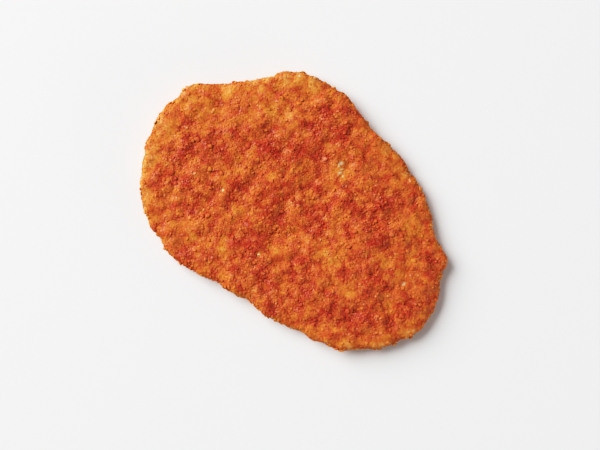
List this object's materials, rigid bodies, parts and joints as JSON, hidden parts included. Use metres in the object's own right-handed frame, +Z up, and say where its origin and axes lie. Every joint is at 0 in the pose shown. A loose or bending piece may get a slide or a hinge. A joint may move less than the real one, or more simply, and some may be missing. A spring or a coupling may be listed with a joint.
{
  "type": "breaded schnitzel",
  "caption": "Flat egg-shaped fried cutlet in a closed coat of coarse golden-brown bread crumbs, with an uneven craggy edge.",
  "frame": {"origin": "on the surface it lies on, under the middle of its outline's bounding box", "axes": "+X along the length towards the narrow end, +Y across it, +Z up out of the side that is served up"},
  "size_m": [0.18, 0.124, 0.0132],
  "materials": {
    "crust": "fried bread crumb, rough, with small oily glints"
  },
  "bodies": {
    "root": {"schnitzel": "crust"}
  },
  "joints": []
}
